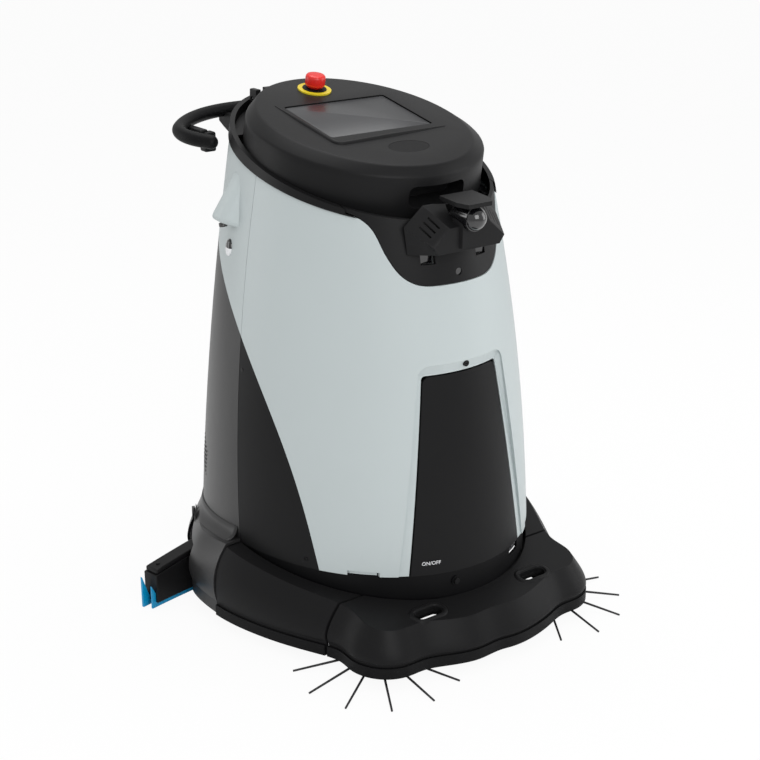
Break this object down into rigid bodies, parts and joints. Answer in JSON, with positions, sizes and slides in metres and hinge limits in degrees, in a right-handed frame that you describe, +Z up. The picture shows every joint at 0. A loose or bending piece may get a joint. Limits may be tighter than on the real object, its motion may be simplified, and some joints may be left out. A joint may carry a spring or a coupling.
{
  "type": "autonomous mobile robot",
  "caption": "Upright autonomous floor-scrubbing robot with a hinged screen lid, service door, side brushes, roller deck and rear squeegee.",
  "frame": {"origin": "on the floor, below the middle of the overall length and width", "axes": "+Z up, front towards -Y, the robot's own left towards +X"},
  "size_m": [0.929, 0.9233, 1.0454],
  "materials": {
    "shell_grey": "satin painted plastic",
    "charcoal": "fine-grained satin",
    "black_plastic": "fine-grained satin",
    "soft_black": "satin rubber",
    "lens": "gloss black",
    "screen": "dark glass, switched off",
    "lamp": "diffuse white lens",
    "stop_red": "gloss",
    "stop_yellow": "satin",
    "steel_frame": "powder coat",
    "bare_steel": "satin",
    "tyre_rubber": "matt",
    "wheel_hub": "satin",
    "bristle": "satin",
    "roller_bristle": "brush",
    "blade_blue": "satin polyurethane",
    "battery_case": "satin",
    "tank_plastic": "rotomoulded"
  },
  "bodies": {
    "chassis": {"base_frame": "steel_frame", "battery_pack": "battery_case", "brush_motors": "black_plastic", "camera_lenses": "lens", "caster_mounts": "steel_frame", "clean_tank": "tank_plastic", "control_box": "black_plastic", "depth_cameras": "lens", "door_brackets": "steel_frame", "drive_motors": "wheel_hub", "front_shell": "shell_grey", "handle_bar": "soft_black", "handle_bracket": "black_plastic", "lidar_dome": "lens", "neck_ring": "charcoal", "panel_screws": "bare_steel", "rear_cover": "charcoal", "rear_cowl": "shell_grey", "rear_deck": "black_plastic", "rear_flange": "charcoal", "recovery_cap": "tank_plastic", "recovery_tank": "tank_plastic", "rim_ring": "black_plastic", "sensor_insert": "black_plastic", "sensor_pod": "black_plastic", "side_lamps": "lamp", "side_panels": "charcoal", "side_pods": "shell_grey", "side_skirt_left": "charcoal", "side_skirt_right": "charcoal", "skirt_strips": "soft_black", "upright_frame": "steel_frame", "vacuum_motor": "black_plastic"},
    "lid": {"lid_cover": "charcoal", "touchscreen": "screen", "stop_ring": "stop_yellow", "stop_guide": "black_plastic", "lid_hinge": "bare_steel"},
    "stop_button": {"stop_button": "stop_red"},
    "service_door": {"service_door": "charcoal"},
    "door_lock": {"door_lock": "bare_steel"},
    "power_button": {"power_button": "bare_steel"},
    "front_bumper": {"front_bumper": "charcoal", "bumper_strip": "soft_black"},
    "side_brush_left": {"side_brush_left": "bristle"},
    "side_brush_right": {"side_brush_right": "bristle"},
    "scrub_deck": {"scrub_deck": "black_plastic"},
    "roller_front": {"roller_front": "roller_bristle"},
    "roller_rear": {"roller_rear": "roller_bristle"},
    "squeegee": {"squeegee_housing": "black_plastic", "squeegee_blades": "blade_blue", "squeegee_arm": "steel_frame"},
    "drive_wheel_left": {"drive_wheel_left": "wheel_hub", "drive_tyre_left": "tyre_rubber"},
    "drive_wheel_right": {"drive_wheel_right": "wheel_hub", "drive_tyre_right": "tyre_rubber"},
    "caster_fork_left": {"caster_fork_left": "steel_frame"},
    "caster_fork_right": {"caster_fork_right": "steel_frame"},
    "caster_wheel_left": {"caster_wheel_left": "tyre_rubber"},
    "caster_wheel_right": {"caster_wheel_right": "tyre_rubber"}
  },
  "joints": [
    {"name": "lid_hinge", "type": "hinge", "parent": "chassis", "child": "lid", "pos_m": [0, 0.296, 0.985], "axis": [-1, 0, 0], "range_deg": [0, 70]},
    {"name": "stop_press", "type": "slide", "parent": "lid", "child": "stop_button", "axis": [0, 0.2011, -0.9796], "range_m": [0, 0.004], "stiffness_N_per_m": 1500, "springref_m": -0.001},
    {"name": "door_hinge", "type": "hinge", "parent": "chassis", "child": "service_door", "pos_m": [0.121, -0.30746, 0.166], "axis": [-0.1264, 0.0885, 0.988], "range_deg": [0, 90]},
    {"name": "door_lock_turn", "type": "hinge", "parent": "chassis", "child": "door_lock", "pos_m": [0, -0.29, 0.566], "axis": [0, 1, 0], "range_deg": [0, 90]},
    {"name": "power_press", "type": "slide", "parent": "chassis", "child": "power_button", "axis": [0, 1, 0], "range_m": [0, 0.003], "stiffness_N_per_m": 800, "springref_m": -0.001},
    {"name": "bumper_slide", "type": "slide", "parent": "chassis", "child": "front_bumper", "axis": [0, 1, 0], "range_m": [0, 0.004], "stiffness_N_per_m": 6000, "springref_m": -0.002},
    {"name": "side_brush_left_spin", "type": "hinge", "parent": "chassis", "child": "side_brush_left", "pos_m": [0.211, -0.308, 0.05], "axis": [0, 0, 1], "continuous": true},
    {"name": "side_brush_right_spin", "type": "hinge", "parent": "chassis", "child": "side_brush_right", "pos_m": [-0.211, -0.308, 0.05], "axis": [0, 0, 1], "continuous": true},
    {"name": "deck_lift", "type": "slide", "parent": "chassis", "child": "scrub_deck", "axis": [0, 0, 1], "range_m": [0, 0.025]},
    {"name": "roller_front_spin", "type": "hinge", "parent": "scrub_deck", "child": "roller_front", "pos_m": [0, -0.092, 0.05], "axis": [1, 0, 0], "continuous": true},
    {"name": "roller_rear_spin", "type": "hinge", "parent": "scrub_deck", "child": "roller_rear", "pos_m": [0, 0.022, 0.05], "axis": [1, 0, 0], "continuous": true},
    {"name": "squeegee_lift", "type": "slide", "parent": "chassis", "child": "squeegee", "axis": [0, 0, 1], "range_m": [0, 0.02]},
    {"name": "drive_wheel_left_spin", "type": "hinge", "parent": "chassis", "child": "drive_wheel_left", "pos_m": [0.262, -0.02, 0.09], "axis": [1, 0, 0], "continuous": true},
    {"name": "drive_wheel_right_spin", "type": "hinge", "parent": "chassis", "child": "drive_wheel_right", "pos_m": [-0.262, -0.02, 0.09], "axis": [1, 0, 0], "continuous": true},
    {"name": "caster_left_swivel", "type": "hinge", "parent": "chassis", "child": "caster_fork_left", "pos_m": [0.13, 0.32, 0.1], "axis": [0, 0, 1], "continuous": true},
    {"name": "caster_left_roll", "type": "hinge", "parent": "caster_fork_left", "child": "caster_wheel_left", "pos_m": [0.13, 0.344, 0.038], "axis": [1, 0, 0], "continuous": true},
    {"name": "caster_right_swivel", "type": "hinge", "parent": "chassis", "child": "caster_fork_right", "pos_m": [-0.13, 0.32, 0.1], "axis": [0, 0, 1], "continuous": true},
    {"name": "caster_right_roll", "type": "hinge", "parent": "caster_fork_right", "child": "caster_wheel_right", "pos_m": [-0.13, 0.344, 0.038], "axis": [1, 0, 0], "continuous": true}
  ],
  "couplings": [
    {"joint": "roller_rear_spin", "follows": "roller_front_spin", "ratio": -1}
  ]
}
